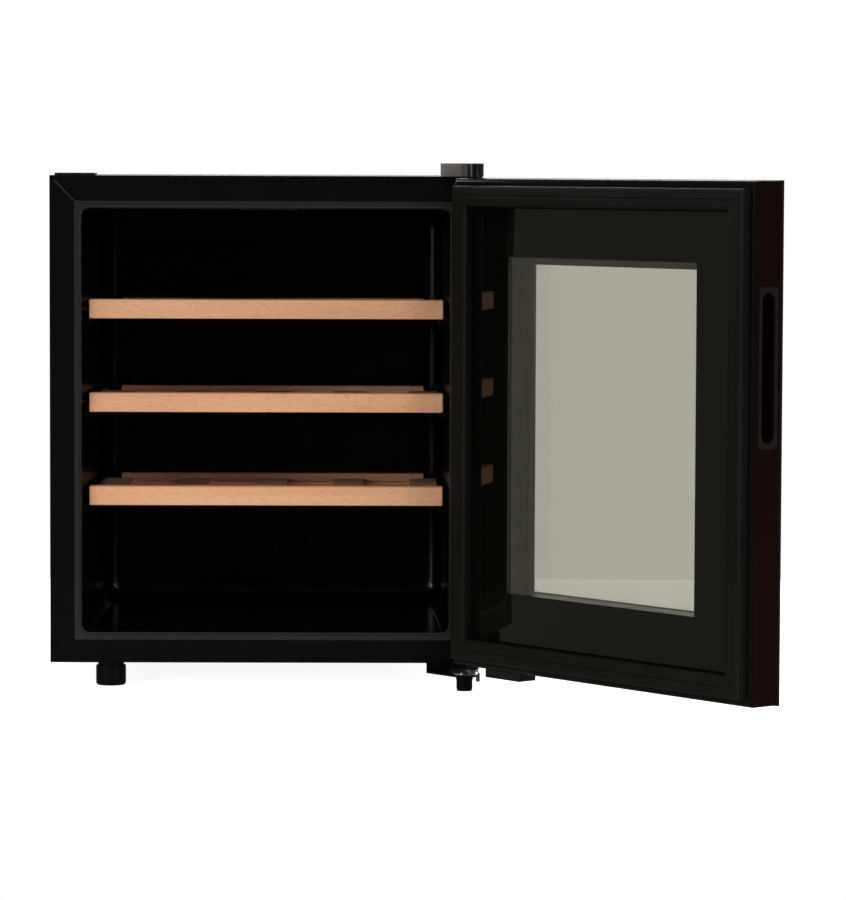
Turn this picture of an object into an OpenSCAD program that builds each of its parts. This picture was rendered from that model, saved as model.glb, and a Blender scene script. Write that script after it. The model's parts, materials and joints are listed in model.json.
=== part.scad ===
// Counter-top thermoelectric wine cooler: steel case, moulded liner, three
// sliding beech shelves and a double-glazed door hung on the right.
//
// Frame: origin on the floor, midway between the sides, under the front face of
// the case. +X points to the hinge side, +Y to the back, +Z up. Millimetres.
// The door is drawn shut and then swung to its rest angle.

/* [Cabinet] */
// Width over the case sides
cabinet_w = 430; // [350:5:560]
// Height from the floor to the top of the case
cabinet_h = 510; // [425:5:640]
// Depth of the case from its front face to its rear panel
cabinet_d = 434; // [420:2:560]
// Gap between the floor and the underside of the case
foot_h = 23.8; // [22:0.2:34]
// Thickness of the case sheet
sheet_t = 0.8; // [0.5:0.1:1.4]
// Width of the front flange at each side
side_flange_w = 24.2; // [20:0.2:30]
// Width of the front flange at the top
top_flange_w = 25.1; // [20:0.1:30]
// Width of the front flange at the bottom
bottom_flange_w = 22.8; // [18:0.2:28]

/* [Liner] */
// Width of the liner's front lip
lip_w = 7.5; // [5:0.5:10]
// Wall of the liner
liner_t = 1.6; // [1:0.1:2.5]
// Depth of the storage space
cavity_d = 330; // [280:2:336]
// Draft of each side wall over the depth
side_draft = 3.7; // [1:0.1:5]
// Draft of the ceiling over the depth
top_draft = 4.8; // [1:0.1:8]
// Draft of the floor over the depth
floor_draft = 1.2; // [0.4:0.1:3]
// Radius of the opening's corners
opening_r = 8; // [4:0.5:12]
// Radius of the edges round the rear wall
rear_r = 14; // [8:1:20]

/* [Shelves] */
// Pitch of the three shelves
shelf_pitch = 93.5; // [84:0.5:110]
// Drop from the opening's top to the top shelf's front bar
first_shelf_drop = 91; // [84:0.5:110]
// Gap between a front bar's end and the opening's side
shelf_side_gap = 6.3; // [5:0.1:12]
// Set-back of the front bars behind the case's front face
shelf_front_y = 15; // [6:1:30]
// Gap between a shelf's rear bar and the duct cover
shelf_rear_gap = 13; // [6:1:30]
// Height of a front bar
front_bar_h = 19; // [16:0.5:26]
// Thickness of a front bar
front_bar_t = 18; // [12:1:24]
// Width of a slat
slat_w = 32.5; // [20:0.5:44]
// Thickness of a slat
slat_t = 7; // [6:0.5:10]
// Number of slats in a shelf
slat_count = 5; // [3:1:6]
// Width of a crossbar and of the rear bar
crossbar_w = 14; // [10:1:18]
// Travel of a shelf on its ledges
shelf_travel = 240; // [100:10:260]

/* [Door] */
// Gap between the case and the door, filled by the gasket
door_gap = 10; // [8:0.5:14]
// Thickness of the door, outer pane included
door_t = 36.2; // [32:0.2:46]
// Thickness of each pane
glass_t = 4; // [3:0.5:5]
// Gap between the door's top edge and the case's top
door_top_gap = 1; // [1:0.5:6]
// Lift of the door's bottom edge above the case's underside
door_bottom_lift = 2.4; // [1:0.2:6]
// Wall of the door frame
frame_wall = 2.5; // [1.8:0.1:4]
// Rounding of the frame's inner edges
frame_edge_r = 4.5; // [2:0.5:6]
// Side margin between the door's edge and the window
window_side_margin = 81; // [60:1:110]
// Margin above the window
window_top_margin = 76.6; // [60:0.2:110]
// Margin below the window
window_bottom_margin = 77.5; // [60:0.5:110]
// Width of the gasket
gasket_w = 20.5; // [16:0.5:24]
// Inset of the gasket from the door's edges
gasket_inset = 7.8; // [5:0.1:10]
// Gap left between the shut gasket and the case
gasket_clear = 0.5; // [0.4:0.1:1]
// Height of the handle's bezel
handle_l = 148; // [110:1:190]
// Width of the handle's bezel
handle_w = 24; // [20:0.5:26]
// Lift of the handle's middle above the door's middle
handle_lift = 70; // [0:5:110]
// Depth of the handle's finger recess
handle_depth = 21; // [14:1:30]

/* [Hinges] */
// Inset of the hinge pins from the door's hinge edge
pin_inset = 8.9; // [7:0.1:14]
// Set-back of the hinge pins from the door's inner face
pin_back = 19.2; // [15:0.1:24]
// Diameter of the hinge pins
pin_d = 6; // [4:0.5:7]
// Angle of the open door at rest
door_rest_angle = 128.5; // [0:0.5:135]
// Thickness of the hinge plates
plate_t = 2; // [1.5:0.5:3]

/* [Cooling unit] */
// Drop from the opening's top to the middle of the cooling unit
cooling_drop = 147; // [130:1:160]
// Side of the thermoelectric module
module_side = 40; // [30:1:50]
// Side of the inner fan
inner_fan_side = 80; // [60:1:90]
// Side of the outer fan
outer_fan_side = 92; // [80:1:100]
// Depth of the outer fan
outer_fan_t = 22; // [18:1:25]

/* [Hidden] */
$fn = 48;
eps = 0.1;             // overrun of a cut past the face it opens
slice = 0.01;          // thickness of the slices that a rounded block is made from
edge_steps = [0, 22.5, 45, 67.5, 90];   // angles of those slices round an edge

// colours
case_black = [0.06, 0.06, 0.06];
liner_black = [0.03, 0.03, 0.03];
lip_grey = [0.15, 0.15, 0.15];
beech = [0.80, 0.60, 0.45];
foam = [0.92, 0.88, 0.72];
steel = [0.72, 0.73, 0.75];
aluminium = [0.80, 0.81, 0.82];
board_green = [0.10, 0.35, 0.18];
glass_tint = [0.62, 0.62, 0.58, 0.45];
nylon = [0.85, 0.84, 0.80];
plastic_black = [0.08, 0.08, 0.08];
door_burgundy = [0.08, 0.02, 0.02];

// case
half_w = cabinet_w / 2;
inner_half_w = half_w - sheet_t;
case_z0 = foot_h;
case_z1 = cabinet_h;
back_y = cabinet_d - sheet_t;           // inner face of the rear panel
foam_y1 = back_y - sheet_t;             // rear face of the insulation
seam_w = 0.4;                           // mitre gap of the front flange
return_w = 12;                          // flange that carries the rear panel
butt_gap = 0.2;

// opening and liner
open_x = half_w - side_flange_w - lip_w;
open_z0 = case_z0 + bottom_flange_w + lip_w;
open_z1 = case_z1 - top_flange_w - lip_w;
lip_gap = 0.1;
tongue_w = 8;                           // liner flange behind the case flange
rear_x = open_x - side_draft;
rear_z0 = open_z0 + floor_draft;
rear_z1 = open_z1 - top_draft;
function wall_x(y) = open_x - side_draft * y / cavity_d;

// shelves
SHELVES = [0, 1, 2];
bar_half = open_x - shelf_side_gap;
slat_half = bar_half + 1;
slat_drop = front_bar_h - slat_t;       // slats lie flush with the bars' undersides
duct_depth = 12;
shelf_rear_y = cavity_d - duct_depth - shelf_rear_gap;
rear_bar_rise = 5;
rear_bar_half = bar_half - 16;
crossbar_drop = 3;                      // crossbar tops lie this far below the slats
lap_gap = 0.1;
crossbar_front_gap = 30;
shelf_clear = 0.3;                      // running gap between shelf and ledge
ledge_w = 7;
ledge_h = 6;
guide_gap = 2.5;                        // gap above the outer slats
guide_h = 5;
function shelf_top(i) = open_z1 - first_shelf_drop - i * shelf_pitch;
function slat_top(i) = shelf_top(i) - slat_drop;
function slat_bottom(i) = slat_top(i) - slat_t;

// cooling unit, front to back
unit_z = open_z1 - cooling_drop;
duct_t = 1.8;
duct_half = rear_x - rear_r - 12.6;
duct_z0 = rear_z0 + rear_r + 36;
duct_z1 = rear_z1 - rear_r - 21.6;
duct_y0 = cavity_d - duct_depth;
vent_count = 9;
pocket_half_x = 64;
pocket_half_z = 62;
pocket_l = 36;
pocket_y1 = cavity_d + pocket_l;
sink_base_t = 6;
cold_fin_l = 14;
cold_sink_side = 100;
fit_gap = 0.2;
recess_half = 110;
recess_z0 = unit_z - 190;
recess_z1 = unit_z + 72;
wall_gap = 4.8;                         // foam between the pocket and the recess
recess_y0 = pocket_y1 + liner_t + wall_gap;
tray_t = 1.2;
spacer_y1 = recess_y0 + 2.2;
peltier_t = 3.8;
hot_base_y0 = spacer_y1 + peltier_t;
hot_sink_w = 120;
hot_sink_h = 110;
fan_y0 = back_y - outer_fan_t;
fin_t = 1.4;
fin_pitch = 8;
inner_fan_t = 15;
cold_fin_y0 = pocket_y1 - sink_base_t - cold_fin_l;
strut_t = 2.5;
strut_w = 3;
shaft_r = 1.5;
shaft_gap = 0.05;
blade_count = 7;
blade_tilt = 35;

// small parts inside
lamp_half_x = 30;
lamp_y0 = 132;
lamp_y1 = 168;
lamp_z = open_z1 - top_draft * lamp_y1 / cavity_d - 0.4;
lamp_h = 13;
board_w = 90;
board_h = 80;
board_t = 1.6;
standoff_l = 6;
gland_x = 70;
gland_z = recess_z0 + 22;
gland_bore_r = 3.6;
gland_out = 8;
gland_in = 14;

// screws
screw_r = 2;
screw_gap = 0.1;
small_screw_r = 1.5;

// feet
foot_inset_x = 59.6;
foot_y = 17;
rear_foot_inset_y = 34;
foot_d = 30;
stud_r = 4;
stud_l = 16;
insert_r = stud_r + 3;
insert_l = 24;

// door, drawn shut
door_y1 = -door_gap;
door_y0 = door_y1 - door_t;
door_z0 = case_z0 + door_bottom_lift;
door_z1 = case_z1 - door_top_gap;
frame_inset = 0.5;                      // the glass stands proud of the frame
frame_x = half_w - frame_inset;
frame_z0 = door_z0 + frame_inset;
frame_z1 = door_z1 - frame_inset;
frame_y0 = door_y0 + glass_t;
gasket_in = gasket_inset + gasket_w;
rim_inset = gasket_in + 0.4;
pane_drop = 3;                          // inner pane below the frame's face
pane_gap = 0.4;
pane_y1 = door_y1 - pane_drop;
pane_y0 = pane_y1 - glass_t;
rest_w = 7;                             // ledge under the inner pane
spacer_w = 8;
window_x = half_w - window_side_margin;
window_z0 = door_z0 + window_bottom_margin;
window_z1 = door_z1 - window_top_margin;
barb_w = 3;
barb_l = 2;
magnet_w = 9;
magnet_t = 3;
gasket_y1 = -gasket_clear;

// handle
handle_z = (door_z0 + door_z1) / 2 + handle_lift;
handle_y = door_y0 + 18.4;
bezel_t = 1.5;
bezel_proud = 0.3;
slot_w = 16;
slot_l = handle_l - 10;
cup_t = 1.6;
undercut = 4;                           // widening behind the grip
undercut_x = 6;                         // depth at which it starts
free_x = -frame_x;

// hinges
pin_x = half_w - pin_inset;
pin_y = door_y1 - pin_back;
pin_r = pin_d / 2;
bush_gap = 0.05;
bush_r = pin_r + 2.2;
bush_l = 14;
bush_flange_r = 6.5;
block_w = pin_inset + bush_r + 4;
arm_drop = 7.8;                         // the lower arm is cranked below the case
arm_z1 = case_z0 - arm_drop;
link_z1 = arm_z1 + plate_t;
nut_h = 3;
right_foot_x = pin_x - pin_d - 1.6;
right_foot_y = pin_y + 0.8;
right_foot_h = arm_z1 - plate_t - 0.2;
right_stud_r = 3;
rib_count = 16;
bracket_x0 = half_w - 54;
link_x0 = half_w - 31;
bracket_y1 = 60;
nose_r = 12;
hinge_x1 = half_w - 2;
cover_x0 = half_w - 41.2;
cover_r = 9.3;
cover_h = 13;
cover_t = 1.6;
cover_y1 = 38;
backing_t = 3;
stop_h = 8.4;                           // height of the block under the door

// ---------------------------------------------------------------- helpers

// Box between two corners
module slab(x0, x1, y0, y1, z0, z1) {
  translate([x0, y0, z0]) cube([x1 - x0, y1 - y0, z1 - z0]);
}

// Rectangle with round corners, from corner to corner
module rounded_rect(x0, x1, y0, y1, r) {
  translate([x0 + r, y0]) square([x1 - x0 - 2 * r, y1 - y0]);
  translate([x0, y0 + r]) square([x1 - x0, y1 - y0 - 2 * r]);
  for (x = [x0 + r, x1 - r], y = [y0 + r, y1 - r]) translate([x, y]) circle(r);
}

// Slot with round ends, long along the second axis
module stadium(w, l) {
  translate([-w / 2, -(l - w) / 2]) square([w, l - w]);
  for (s = [-1, 1]) translate([0, s * (l - w) / 2]) circle(w / 2);
}

// Extrudes an X-Z outline along Y
module along_y(y0, y1) {
  translate([0, y1, 0]) rotate([90, 0, 0]) linear_extrude(y1 - y0) children();
}

// Extrudes a Y-Z outline along X
module along_x(x0, x1) {
  translate([x0, 0, 0]) rotate([90, 0, 90]) linear_extrude(x1 - x0) children();
}

// Stands a piece drawn along Z on the plane y, pointing to the back
module facing_back(x, y, z) {
  translate([x, y, z]) rotate([-90, 0, 0]) children();
}

// Stands a piece drawn along Z on the plane y, pointing to the front
module facing_front(x, y, z) {
  translate([x, y, z]) rotate([90, 0, 0]) children();
}

// Cross-headed screw: head above the plane, shank below it
module screw(r, l) {
  difference() {
    union() {
      translate([0, 0, -l]) cylinder(r = r, h = l + eps);
      cylinder(r1 = r * 2, r2 = r * 1.7, h = r);
    }
    for (a = [0, 90]) rotate([0, 0, a])
      translate([-r, -r / 6, r * 0.55]) cube([2 * r, r / 3, r]);
  }
}

// Ring of rectangular section in the X-Z plane
module frame_ring(x0, x1, z0, z1, w, y0, y1) {
  difference() {
    slab(x0, x1, y0, y1, z0, z1);
    slab(x0 + w, x1 - w, y0 - eps, y1 + eps, z0 + w, z1 - w);
  }
}

// ---------------------------------------------------------------- cabinet

// Storage space, grown by g on every side
module cavity(g) {
  r = rear_r + g;
  hull() {
    along_y(-2, -1)
      rounded_rect(-open_x - g, open_x + g, open_z0 - g, open_z1 + g,
                   opening_r + g, $fn = 32);
    for (a = edge_steps) {
      inset = r * (1 - cos(a));
      y = cavity_d - rear_r + r * sin(a);
      corner_r = max(opening_r + g, r - inset / 2);
      along_y(y - slice, y)
        rounded_rect(-rear_x - g + inset, rear_x + g - inset,
                     rear_z0 - g + inset, rear_z1 + g - inset, corner_r, $fn = 32);
    }
  }
}

// Flange and returns of one wall are cut from one folded sheet
module outer_case() color(case_black) {
  difference() {
    union() {
      for (s = [-1, 1]) {
        x = s > 0 ? inner_half_w : -half_w;
        slab(x, x + sheet_t, 0, cabinet_d, case_z0, case_z1);
        x2 = s > 0 ? half_w - side_flange_w : -half_w;
        slab(x2, x2 + side_flange_w, 0, sheet_t, case_z0, case_z1);
        x3 = s > 0 ? half_w - return_w : -half_w;
        slab(x3, x3 + return_w, foam_y1, back_y, case_z0, case_z1);
      }
      slab(-half_w, half_w, 0, cabinet_d, case_z1 - sheet_t, case_z1);
      slab(-half_w, half_w, 0, sheet_t, case_z1 - top_flange_w, case_z1);
      slab(-half_w, half_w, foam_y1, back_y, case_z1 - return_w, case_z1);
    }
    for (s = [-1, 1]) mitre_seam(s);
    top_hinge_screw_sites() cylinder(r = screw_r + screw_gap, h = 20, center = true);
    hinge_cap_sites() cylinder(r = screw_r + screw_gap, h = 20, center = true);
    panel_screw_sites() cylinder(r = small_screw_r + screw_gap, h = 10, center = true);
  }
}

// Thin diagonal gap between the side flange and the top flange
module mitre_seam(s) {
  inner = [half_w - side_flange_w - eps, case_z1 - top_flange_w - eps];
  outer = [half_w - 5, case_z1 - 5];
  along_y(-eps, sheet_t + eps)
    polygon([[s * inner[0], inner[1]], [s * (inner[0] + seam_w), inner[1] - seam_w],
             [s * outer[0], outer[1] - seam_w], [s * outer[0], outer[1]]]);
}

module base_panel() color(case_black) {
  flange_x = half_w - side_flange_w - butt_gap;
  difference() {
    union() {
      slab(-inner_half_w, inner_half_w, sheet_t, foam_y1, case_z0, case_z0 + sheet_t);
      slab(-flange_x, flange_x, 0, sheet_t, case_z0, case_z0 + bottom_flange_w);
    }
    bottom_hinge_screw_sites()
      cylinder(r = screw_r + screw_gap, h = 20, center = true);
    translate([-half_w + foot_inset_x, foot_y, case_z0])
      cylinder(r = stud_r + 0.3, h = 20, center = true);
  }
}

// Rear panel with the fan opening and the vent slots
module back_panel() color(case_black) {
  slot_l = 60;
  slot_h = 4;
  difference() {
    slab(-inner_half_w, inner_half_w, back_y, cabinet_d, case_z0, case_z1 - sheet_t);
    facing_back(0, back_y - eps, unit_z)
      cylinder(r = outer_fan_side / 2 - 3, h = sheet_t + 2 * eps, $fn = 96);
    for (s = [-1, 1], k = [0 : 5])
      slab(s * 55 - slot_l / 2, s * 55 + slot_l / 2, back_y - eps, cabinet_d + eps,
           recess_z0 + 52 + 12 * k, recess_z0 + 52 + slot_h + 12 * k);
    facing_back(gland_x, back_y - eps, gland_z)
      cylinder(r = gland_bore_r + 2.5, h = sheet_t + 2 * eps);
    panel_screw_sites() cylinder(r = small_screw_r + screw_gap, h = 10, center = true);
  }
}

// Places of the rear panel's screws, in the middle of the return flanges
module panel_screw_sites() {
  x = half_w - return_w / 2 - 1;
  z_span = [case_z0 + 30, (case_z0 + case_z1) / 2, case_z1 - 30];
  for (sx = [-x, x], z = z_span) facing_back(sx, cabinet_d, z) children();
  for (sx = [-x / 2, x / 2]) facing_back(sx, cabinet_d, case_z1 - return_w / 2 - 1)
    children();
}

module back_panel_screws() color(steel) {
  panel_screw_sites() screw(small_screw_r, sheet_t * 2);
}

module inner_liner() color(liner_black) {
  lip_x = open_x + lip_w - lip_gap;
  difference() {
    union() {
      intersection() {
        cavity(liner_t);
        slab(-half_w, half_w, 0, cabinet_d, case_z0, case_z1);
      }
      slab(-lip_x, lip_x, 0, sheet_t, open_z0 - lip_w + lip_gap, open_z1 + lip_w - lip_gap);
      slab(-lip_x - tongue_w, lip_x + tongue_w, sheet_t, sheet_t + liner_t,
           open_z0 - lip_w - tongue_w, open_z1 + lip_w + tongue_w);
      slab(-pocket_half_x - liner_t, pocket_half_x + liner_t,
           cavity_d, pocket_y1 + liner_t,
           unit_z - pocket_half_z - liner_t, unit_z + pocket_half_z + liner_t);
    }
    difference() {
      cavity(0);
      for (i = SHELVES) shelf_guides(i);
    }
    slab(-pocket_half_x, pocket_half_x, cavity_d - eps, pocket_y1,
         unit_z - pocket_half_z, unit_z + pocket_half_z);
    module_hole();
    duct_screw_sites() cylinder(r = small_screw_r + screw_gap, h = 20);
    slab(-lamp_half_x, lamp_half_x, lamp_y0, lamp_y1, lamp_z - 1, open_z1 + lip_w);
  }
}

// Ledge under a shelf's outer slats and guide rib above them, on both walls
module shelf_guides(i) {
  ledge_top = slat_bottom(i) - shelf_clear;
  guide_z = slat_top(i) + guide_gap;
  for (s = [-1, 1]) {
    x0 = s > 0 ? open_x - side_draft - ledge_w : -half_w;
    x1 = s > 0 ? half_w : -open_x + side_draft + ledge_w;
    slab(x0, x1, shelf_front_y + 6, shelf_rear_y, ledge_top - ledge_h, ledge_top);
    slab(x0, x1, shelf_front_y + front_bar_t + 8, shelf_rear_y, guide_z, guide_z + guide_h);
  }
}

// Passage for the aluminium block between the cold and the hot side
module module_hole() {
  h = module_side / 2 + fit_gap;
  slab(-h, h, pocket_y1 - eps, recess_y0 + tray_t + eps, unit_z - h, unit_z + h);
}

// Foam between the case and the liner
module insulation() color(foam) {
  difference() {
    slab(-inner_half_w, inner_half_w, sheet_t + liner_t, foam_y1,
         case_z0 + sheet_t, case_z1 - sheet_t);
    cavity(liner_t);
    slab(-pocket_half_x - liner_t, pocket_half_x + liner_t,
         cavity_d - eps, pocket_y1 + liner_t,
         unit_z - pocket_half_z - liner_t, unit_z + pocket_half_z + liner_t);
    slab(-recess_half, recess_half, recess_y0, cabinet_d, recess_z0, recess_z1);
    module_hole();
    slab(-lamp_half_x, lamp_half_x, lamp_y0, lamp_y1, lamp_z, lamp_z + lamp_h);
    for (top = [false, true]) backing_plate(top);
    bottom_hinge_screw_sites()
      cylinder(r = screw_r + screw_gap, h = 24, center = true);
    top_hinge_screw_sites() cylinder(r = screw_r + screw_gap, h = 24, center = true);
    hinge_cap_sites() cylinder(r = screw_r + screw_gap, h = 24, center = true);
    translate([-half_w + foot_inset_x, foot_y, case_z0])
      cylinder(r = insert_r, h = insert_l);
  }
}

// ---------------------------------------------------------------- cooling unit

module duct_screw_sites() {
  for (s = [-1, 1]) {
    facing_back(s * 100, duct_y0, duct_z1 - 20) children();
    facing_back(s * 32, duct_y0, unit_z - pocket_half_z - 20) children();
  }
}

// Cover over the fan and the air path, open at its top and bottom edges
module duct_cover() color(liner_black) {
  vent_w = duct_half * 2 / vent_count - 8;
  difference() {
    union() {
      difference() {
        along_y(duct_y0, cavity_d)
          rounded_rect(-duct_half, duct_half, duct_z0, duct_z1, 5);
        along_y(duct_y0 + duct_t, cavity_d + eps)
          rounded_rect(-duct_half + duct_t, duct_half - duct_t,
                       duct_z0 + duct_t, duct_z1 - duct_t, 3.2);
      }
      duct_screw_sites() cylinder(r = 4.5, h = duct_depth);
    }
    duct_screw_sites() translate([0, 0, -eps])
      cylinder(r = small_screw_r + screw_gap, h = duct_depth + 2 * eps);
    for (k = [0 : vent_count - 1], z = [duct_z0, duct_z1 - duct_t]) {
      x = -duct_half + (k + 0.5) * duct_half * 2 / vent_count;
      slab(x - vent_w / 2, x + vent_w / 2, duct_y0 + 4, cavity_d - 2,
           z - eps, z + duct_t + eps);
    }
  }
}

module duct_screws() color(steel) {
  duct_screw_sites() rotate([180, 0, 0]) screw(small_screw_r, duct_depth + liner_t);
}

// Finned block: base of size w by h, fins of length l pointing along +Y or -Y
module finned_block(w, h, base_y0, fin_y0, fin_y1) {
  count = floor((w / 2 - fin_t) / fin_pitch);
  slab(-w / 2, w / 2, base_y0, base_y0 + sink_base_t, unit_z - h / 2, unit_z + h / 2);
  for (k = [-count : count])
    slab(k * fin_pitch - fin_t / 2, k * fin_pitch + fin_t / 2, fin_y0, fin_y1,
         unit_z - h / 2, unit_z + h / 2);
}

module cold_sink() color(aluminium)
  finned_block(cold_sink_side, cold_sink_side, pocket_y1 - sink_base_t,
               cold_fin_y0, pocket_y1 - sink_base_t);

module spacer_block() color(aluminium)
  slab(-module_side / 2, module_side / 2, pocket_y1, spacer_y1,
       unit_z - module_side / 2, unit_z + module_side / 2);

module peltier_module() color("white")
  slab(-module_side / 2, module_side / 2, spacer_y1, hot_base_y0,
       unit_z - module_side / 2, unit_z + module_side / 2);

module hot_sink() color(aluminium)
  finned_block(hot_sink_w, hot_sink_h, hot_base_y0, hot_base_y0 + sink_base_t, fan_y0 - 1);

// Square fan frame, drawn along Z with its motor struts at the far end
module fan_frame(side, t) {
  bore = side / 2 - 2;
  hub = side * 0.2;
  hole = side / 2 - 5;
  difference() {
    linear_extrude(t) rounded_rect(-side / 2, side / 2, -side / 2, side / 2, 4);
    translate([0, 0, -eps]) cylinder(r = bore, h = t + 2 * eps, $fn = 96);
    for (x = [-hole, hole], y = [-hole, hole]) translate([x, y, -eps])
      cylinder(r = 2.1, h = t + 2 * eps);
  }
  translate([0, 0, t - strut_t]) cylinder(r = hub, h = strut_t);
  for (a = [45, 135]) rotate([0, 0, a])
    translate([-bore - 1, -strut_w / 2, t - strut_t + 0.3])
      cube([2 * bore + 2, strut_w, strut_t - 0.6]);
  translate([0, 0, 3]) cylinder(r = shaft_r, h = t - strut_t - 3 + eps);
}

// Rotor of the same fan
module fan_rotor(side, t) {
  bore = side / 2 - 2;
  hub = side * 0.2 - 0.5;
  top = t - strut_t - 1;
  blade_h = (top - 2) * 0.95;
  reach = sqrt(pow(bore - 1, 2) - pow(blade_h / 2, 2));
  difference() {
    union() {
      translate([0, 0, 1]) cylinder(r = hub, h = top - 1);
      for (k = [0 : blade_count - 1]) rotate([0, 0, k * 360 / blade_count])
        translate([hub - 1.5, 0, (top + 1) / 2]) rotate([blade_tilt, 0, 0])
          translate([0, -0.8, -blade_h / 2]) cube([reach - hub + 1.5, 1.6, blade_h]);
    }
    translate([0, 0, 2.5]) cylinder(r = shaft_r + shaft_gap, h = t);
  }
}

module inner_fan_frame() color(plastic_black)
  facing_back(0, cold_fin_y0 - inner_fan_t, unit_z) fan_frame(inner_fan_side, inner_fan_t);

module inner_fan_rotor() color([0.15, 0.15, 0.15])
  facing_back(0, cold_fin_y0 - inner_fan_t, unit_z) fan_rotor(inner_fan_side, inner_fan_t);

module outer_fan_frame() color(plastic_black)
  facing_back(0, fan_y0, unit_z) fan_frame(outer_fan_side, outer_fan_t);

module outer_fan_rotor() color([0.15, 0.15, 0.15])
  facing_back(0, fan_y0, unit_z) fan_rotor(outer_fan_side, outer_fan_t);

// Wire guard over the outer fan
module fan_guard() color(steel) {
  wire_r = 0.8;
  rings = 5;
  step = (outer_fan_side / 2 - 2) / rings;
  hole = outer_fan_side / 2 - 5;
  facing_back(0, cabinet_d, unit_z) {
    for (k = [1 : rings]) translate([0, 0, 2 * wire_r])
      rotate_extrude($fn = 72) translate([k * step, 0]) circle(wire_r, $fn = 16);
    for (a = [45, 135]) rotate([0, 0, a]) {
      translate([0, 0, wire_r]) rotate([0, 90, 0])
        cylinder(r = wire_r, h = 2 * hole * sqrt(2), center = true, $fn = 16);
    }
    for (x = [-hole, hole], y = [-hole, hole]) translate([x, y, 0])
      cylinder(r = 3.5, h = 2 * wire_r);
  }
}

// Tray that keeps the foam out of the machine space
module machine_tray() color(plastic_black) {
  difference() {
    slab(-recess_half, recess_half, recess_y0, back_y, recess_z0, recess_z1);
    slab(-recess_half + tray_t, recess_half - tray_t, recess_y0 + tray_t, back_y + eps,
         recess_z0 + tray_t, recess_z1 - tray_t);
    module_hole();
  }
}

module power_board() color(board_green) {
  x0 = -recess_half + 12;
  z0 = recess_z0 + 14;
  y0 = recess_y0 + tray_t;
  board_y = y0 + standoff_l;
  slab(x0, x0 + board_w, board_y, board_y + board_t, z0, z0 + board_h);
  for (x = [x0 + 6, x0 + board_w - 6], z = [z0 + 6, z0 + board_h - 6])
    facing_back(x, y0, z) cylinder(r = 3, h = standoff_l);
  slab(x0 + 10, x0 + 42, board_y + board_t, board_y + 28, z0 + 14, z0 + 44);
  slab(x0 + 60, x0 + 66, board_y + board_t, board_y + 26, z0 + 14, z0 + 50);
  for (k = [0 : 2])
    facing_back(x0 + 18 + 16 * k, board_y + board_t, z0 + 62) cylinder(r = 6, h = 20);
}

// Strain relief in the rear panel, with the bore that a mains lead passes through
module cord_gland() color(plastic_black) {
  difference() {
    union() {
      facing_back(gland_x, cabinet_d, gland_z) {
        cylinder(r = gland_bore_r + 4.5, h = 2.5);
        cylinder(r1 = gland_bore_r + 3, r2 = gland_bore_r + 1.8, h = gland_out);
      }
      facing_back(gland_x, back_y - gland_in, gland_z)
        cylinder(r = gland_bore_r + 2.3, h = gland_in + 2 * sheet_t);
    }
    facing_back(gland_x, back_y - gland_in - eps, gland_z)
      cylinder(r = gland_bore_r, h = gland_in + gland_out + sheet_t + 2 * eps);
  }
}

// Probe clipped to the liner behind the duct cover
module temperature_sensor() color(nylon) {
  x = -110;
  z = unit_z - 40;
  probe_r = 2.5;
  translate([x, cavity_d - 6, z]) cylinder(r = probe_r, h = 26);
  slab(x - 4, x + 4, cavity_d - 6, cavity_d, z + 8, z + 16);
}

module light_housing() color(nylon) {
  difference() {
    slab(-lamp_half_x, lamp_half_x, lamp_y0, lamp_y1, lamp_z + 2, lamp_z + lamp_h);
    slab(-lamp_half_x + tray_t, lamp_half_x - tray_t, lamp_y0 + tray_t, lamp_y1 - tray_t,
         lamp_z + 2 - eps, lamp_z + lamp_h - tray_t);
  }
}

// Small board with three light-emitting diodes
module light_board() color(board_green) {
  z1 = lamp_z + lamp_h - tray_t;
  slab(-lamp_half_x + 3, lamp_half_x - 3, lamp_y0 + 5, lamp_y1 - 5, z1 - board_t, z1);
  for (k = [-1 : 1])
    slab(k * 16 - 2.5, k * 16 + 2.5, (lamp_y0 + lamp_y1) / 2 - 2.5,
         (lamp_y0 + lamp_y1) / 2 + 2.5, z1 - board_t - 1.5, z1 - board_t);
}

module light_lens() color([0.95, 0.95, 0.92, 0.7])
  slab(-lamp_half_x + fit_gap, lamp_half_x - fit_gap, lamp_y0 + fit_gap, lamp_y1 - fit_gap,
       lamp_z, lamp_z + 2);

// ---------------------------------------------------------------- hinges and feet

module top_hinge_screw_sites() {
  for (p = [[cover_x0 + 8, 12], [cover_x0 + 8, 28], [cover_x0 + 26, 20]])
    translate([p[0], p[1], case_z1]) children();
}

module bottom_hinge_screw_sites() {
  for (p = [[bracket_x0 + 10, 16], [bracket_x0 + 10, 46], [bracket_x0 + 38, 30]])
    translate([p[0], p[1], case_z0]) children();
}

// Spare hinge holes on the other side, mirrored
module hinge_cap_sites() mirror([1, 0, 0]) top_hinge_screw_sites() children();

module top_hinge_plate() color(steel) {
  difference() {
    translate([0, 0, case_z1]) linear_extrude(plate_t) union() {
      translate([cover_x0 + 2.2, 4]) square([hinge_x1 - cover_x0 - 2.2, cover_y1 - 6]);
      translate([pin_x - 7, pin_y]) square([14, 4 - pin_y + eps]);
      translate([pin_x, pin_y]) circle(7);
    }
    top_hinge_screw_sites() cylinder(r = screw_r + screw_gap, h = 20, center = true);
    translate([pin_x, pin_y, 0]) cylinder(r = pin_r, h = case_z1 + 20);
  }
}

module top_hinge_pin() color(steel)
  translate([pin_x, pin_y, door_z1 - bush_l + 1])
    cylinder(r = pin_r, h = case_z1 + plate_t - door_z1 + bush_l - 1);

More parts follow.
